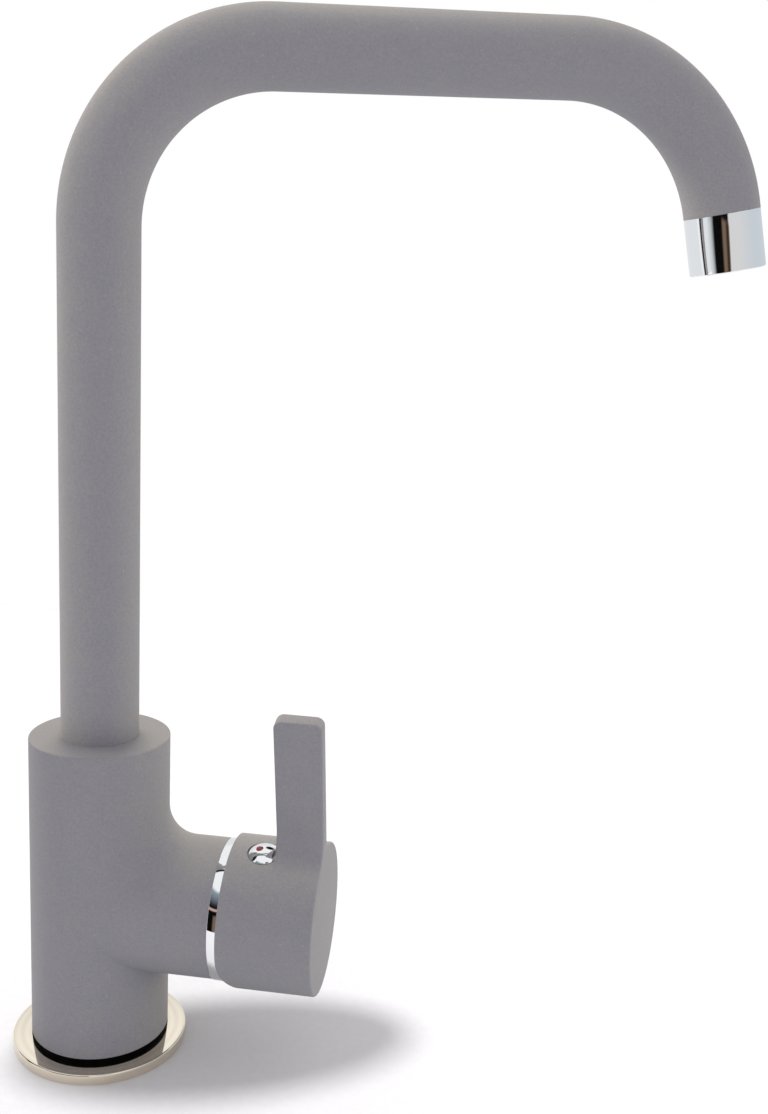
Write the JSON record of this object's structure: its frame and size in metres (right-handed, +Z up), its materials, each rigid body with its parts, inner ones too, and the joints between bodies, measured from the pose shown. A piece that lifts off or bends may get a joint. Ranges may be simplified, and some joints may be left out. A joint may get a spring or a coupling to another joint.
{
  "type": "kitchen faucet",
  "caption": "Single-lever kitchen faucet with a tall square-arched swivel spout, a side lever with an upright paddle, and an aerator at the outlet.",
  "frame": {"origin": "centre of the base ring's underside, on the deck", "axes": "+Z up the body, +X out along the lever branch"},
  "size_m": [0.2594, 0.1239, 0.377],
  "materials": {
    "coated_brass": "matte grey stone-effect coating with a fine mottled grain",
    "chrome_trim": "mirror-bright chrome plating",
    "ring_metal": "polished warm-toned plating",
    "bare_brass": "machined",
    "black_rubber": "satin",
    "seal_rubber": "greased",
    "white_plastic": "moulded acetal",
    "grey_plastic": "moulded acetal",
    "screen_plastic": "moulded, translucent white",
    "ceramic": "lapped alumina ceramic, opaque",
    "steel": "turned",
    "red_inlay": "gloss red"
  },
  "bodies": {
    "base": {"faucet_body": "coated_brass", "base_ring": "ring_metal", "base_seal": "black_rubber", "deck_gasket": "black_rubber", "spout_lock_screw": "steel", "cartridge_base": "grey_plastic", "cartridge_seals": "seal_rubber", "fixed_disc": "ceramic", "cartridge_housing": "white_plastic", "clamp_nut": "bare_brass", "dome_collar": "chrome_trim"},
    "spout": {"spout_tube": "coated_brass", "spout_ferrule": "bare_brass", "upper_glide_ring": "white_plastic", "lower_glide_ring": "white_plastic", "spout_o_rings": "seal_rubber", "outlet_bush": "bare_brass", "aerator_washer": "seal_rubber", "aerator_housing": "chrome_trim", "aerator_insert": "grey_plastic", "aerator_screen": "screen_plastic"},
    "swivel": {"swivel_head": "grey_plastic", "stem_pin": "steel"},
    "valve": {"moving_disc": "ceramic", "disc_carrier": "white_plastic"},
    "lever": {"lever_stem": "steel", "lever_handle": "coated_brass", "handle_set_screw": "steel", "index_button": "chrome_trim", "index_dot": "red_inlay"}
  },
  "joints": [
    {"name": "spout_swivel", "type": "hinge", "parent": "base", "child": "spout", "pos_m": [0, 0, 0.098], "axis": [0, 0, 1], "continuous": true},
    {"name": "lever_mix", "type": "hinge", "parent": "base", "child": "swivel", "pos_m": [0.045, 0, 0.0575], "axis": [1, 0, 0], "range_deg": [-64, 36]},
    {"name": "lever_lift", "type": "hinge", "parent": "swivel", "child": "lever", "pos_m": [0.045, 0, 0.0575], "axis": [0, 0.9703, 0.2419], "range_deg": [0, 24]},
    {"name": "valve_slide", "type": "slide", "parent": "swivel", "child": "valve", "axis": [0, -0.2419, 0.9703], "range_m": [0, 0.00489]}
  ],
  "couplings": [
    {"joint": "valve_slide", "follows": "lever_lift", "m_per_rad": 0.011652}
  ]
}
